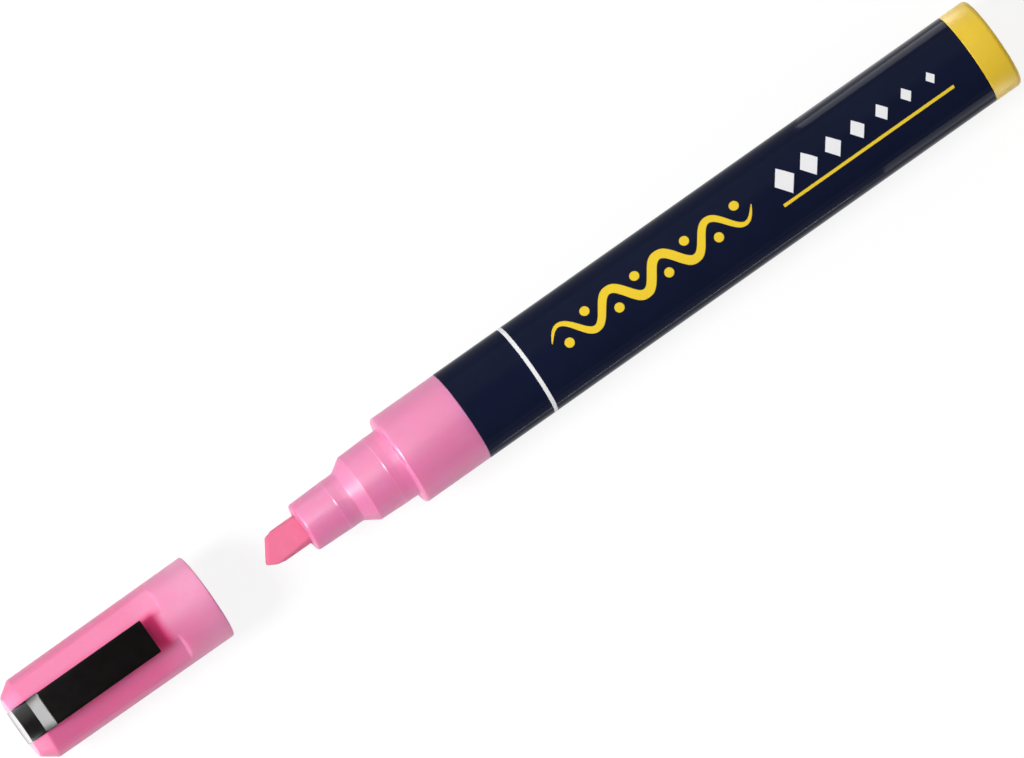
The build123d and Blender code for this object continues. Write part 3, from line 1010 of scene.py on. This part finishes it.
def build_object():
    """Make every piece with its material, and tie each but the clip to its body."""
    nose_pink = pink_plastic("nose_satin", (0.765, 0.205, 0.42))
    cap_pink = pink_plastic("cap_satin", (0.785, 0.265, 0.475))
    finish_piece(barrel_piece(), ["barrel"], "marker", barrel_gloss())
    finish_piece(plug_piece(), ["tail_plug"], "marker", yellow_plastic())
    finish_piece(nose_piece(), ["front_section"], "marker", nose_pink)
    finish_piece(nib_piece(), ["nib"], "writing_nib", felt())
    finish_piece(cap_piece(), ["cap_shell"], "cap", cap_pink)
    finish_piece(liner_piece(), ["inner_cap"], "cap", natural_plastic("liner_milky"))

    clip = clip_piece()
    finish_piece(clip, ["clip_root", "clip_arm"], None, black_plastic())
    flex_start = Vector((clip_root_x, 0, axis_z + cap_top_r)) * MM
    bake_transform(clip)

    spring = spring_piece()
    finish_piece(spring, ["valve_spring"], "marker", drawn_steel())
    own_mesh(spring)

    valve = natural_plastic("valve_milky")
    for node in ("valve_seat", "valve_rod", "valve_case"):
        dress_node(node, valve)
    dress_node("valve_seal", seal_rubber())
    dress_node("mixing_ball", polished_steel())


# Studio: the photograph's camera, a white floor and a soft sky
camera_tilt = math.radians(5.8)
camera_roll = math.radians(35.2)
camera_target = Vector((0.95, 0.22, 7.5)) * MM
camera_distance = 4.5
camera_sight = 45.0
view_width = 150.6 * MM
floor_half_size = 6.0
floor_bounce = 0.85
floor_paper = 0.16
floor_glow = 0.86
sky_fill = 0.37
sky_zenith = 0.05
sky_soft = 2.2
softbox_y = 0.15
softbox_blur = 0.2
softbox_top_z = 0.9
softbox_top_blur = 0.08
horizon_z = 0.04
horizon_blur = 0.06

# Lamps: name, spot, target, width, height, strength, whether only gloss shows it, and turn in degrees.
# Places and sizes are in metres. The cards make the highlights on the cap's end and flats, the plug and
# the barrel.
lamps = (
    ("key", (-0.90, 0.16, 0.91), (0, 0, 0), 0.36, 0.36, 36, False, 0),
    ("glint", (-0.40, 0.2, 1.0), (0, 0.2, 0), 0.30, 0.1, 95, True, 0),
    ("ramp_card", (-0.125, 0, 0.006), (-0.085, 0, 0.006), 0.065, 0.016, 17, True, 0),
    ("end_card", (-0.0935, 0, 0.0005), (-0.0935, 0.001, 1), 0.01, 0.014, 1.2, True, 0),
    ("panel_card", (-0.08, 0.15, 0.04), (-0.08, 0, 0.012), 0.06, 0.05, 2.2, True, 0),
    ("tail_card", (0.0765, 0.0415, 0.001), (0.0765, 0.041, 1), 0.029, 0.043, 7, True, 9),
    ("tail_near_card", (0.0725, 0.015, 0.001), (0.0725, 0.0149, 1), 0.028, 0.01, 0.8, True, 0),
    ("tail_low_card", (0.0805, -0.0415, 0.001), (0.0805, -0.041, 1), 0.023, 0.043, 3.5, True, -9),
    ("line_card", (0.0275, -0.0217, 0.001), (0.0275, -0.0216, 1), 0.065, 0.0015, 14, True, 0),
)


def add_camera():
    """Look down on the marker as the photograph does."""
    back = Vector((-math.sin(camera_tilt), 0, math.cos(camera_tilt)))
    along = Vector((math.cos(camera_tilt), 0, math.sin(camera_tilt)))
    side = Vector((0, 1, 0))
    right = along * math.cos(camera_roll) - side * math.sin(camera_roll)
    up = along * math.sin(camera_roll) + side * math.cos(camera_roll)
    data = bpy.data.cameras.new("camera")
    data.lens = data.sensor_width * camera_distance / view_width
    data.clip_end = camera_sight
    camera = bpy.data.objects.new("camera", data)
    camera.matrix_world = Matrix.Translation(camera_target + back * camera_distance) @ Matrix(
        (right, up, back)).transposed().to_4x4()
    bpy.context.scene.collection.objects.link(camera)
    bpy.context.scene.camera = camera


def add_lamp(name, spot, target, width, height, strength, gloss_only, turn):
    """Add an area lamp at a spot in metres, turned to a target, whose face shines with a strength."""
    data = bpy.data.lights.new(name, "AREA")
    data.shape = "RECTANGLE"
    data.size = width
    data.size_y = height
    data.energy = strength * math.pi * width * height
    lamp = bpy.data.objects.new(name, data)
    lamp.location = spot
    lamp.rotation_mode = "QUATERNION"
    facing = (Vector(target) - Vector(spot)).to_track_quat("-Z", "Y")
    lamp.rotation_quaternion = facing @ Quaternion((0, 0, 1), math.radians(turn))
    lamp.visible_camera = False
    lamp.visible_diffuse = not gloss_only
    bpy.context.scene.collection.objects.link(lamp)


def seen_directly(tree):
    """Give 1 for rays that show a surface as it is: from the camera, off gloss and through glass."""
    path = tree.nodes.new("ShaderNodeLightPath")
    camera, glossy, through = (Field(tree, path.outputs[name]) for name in
                               ("Is Camera Ray", "Is Glossy Ray", "Is Transmission Ray"))
    return camera.math("MAXIMUM", glossy).math("MAXIMUM", through)


def add_floor():
    """Lay a plain pale floor, white where it is lit and darker in the marker's shadow."""
    mesh = bmesh.new()
    bmesh.ops.create_grid(mesh, x_segments=1, y_segments=1, size=floor_half_size)
    floor = piece("floor", mesh)
    material = bpy.data.materials.new("floor_paper")
    material.use_nodes = True
    tree = material.node_tree
    tree.nodes.remove(tree.nodes["Principled BSDF"])
    paper = tree.nodes.new("ShaderNodeBsdfDiffuse")
    tree.links.new(seen_directly(tree).spread(floor_bounce, floor_paper).socket, paper.inputs["Color"])
    glow = tree.nodes.new("ShaderNodeEmission")
    tree.links.new((seen_directly(tree) * floor_glow).socket, glow.inputs["Strength"])
    both = tree.nodes.new("ShaderNodeAddShader")
    tree.links.new(paper.outputs[0], both.inputs[0])
    tree.links.new(glow.outputs[0], both.inputs[1])
    tree.links.new(both.outputs[0], tree.nodes["Material Output"].inputs["Surface"])
    floor.data.materials.append(material)


def add_sky():
    """Light the studio evenly, shown white at the horizon, with a soft box to one side of a dark top."""
    world = bpy.data.worlds.new("studio")
    world.use_nodes = True
    tree = world.node_tree
    direction = tree.nodes.new("ShaderNodeTexCoord")
    split = tree.nodes.new("ShaderNodeSeparateXYZ")
    tree.links.new(direction.outputs["Generated"], split.inputs[0])
    y, z = Field(tree, split.outputs["Y"]), Field(tree, split.outputs["Z"])
    softbox = (y * -1).below(-softbox_y, softbox_blur) * z.below(softbox_top_z, softbox_top_blur)
    overhead = softbox.spread(sky_zenith, sky_soft)
    low = z.below(horizon_z, horizon_blur)
    shown = overhead + low * (overhead * -1 + 1)
    tree.links.new((seen_directly(tree) * (shown - sky_fill) + sky_fill).socket,
                   tree.nodes["Background"].inputs["Strength"])
    tree.nodes["Background"].inputs["Color"].default_value = (1, 1, 1, 1)
    bpy.context.scene.world = world


def build_studio():
    """Set up camera, floor and light."""
    add_camera()
    add_floor()
    add_sky()
    for lamp in lamps:
        add_lamp(*lamp)


build_object()
build_studio()
bpy.context.scene.view_settings.view_transform = "Standard"
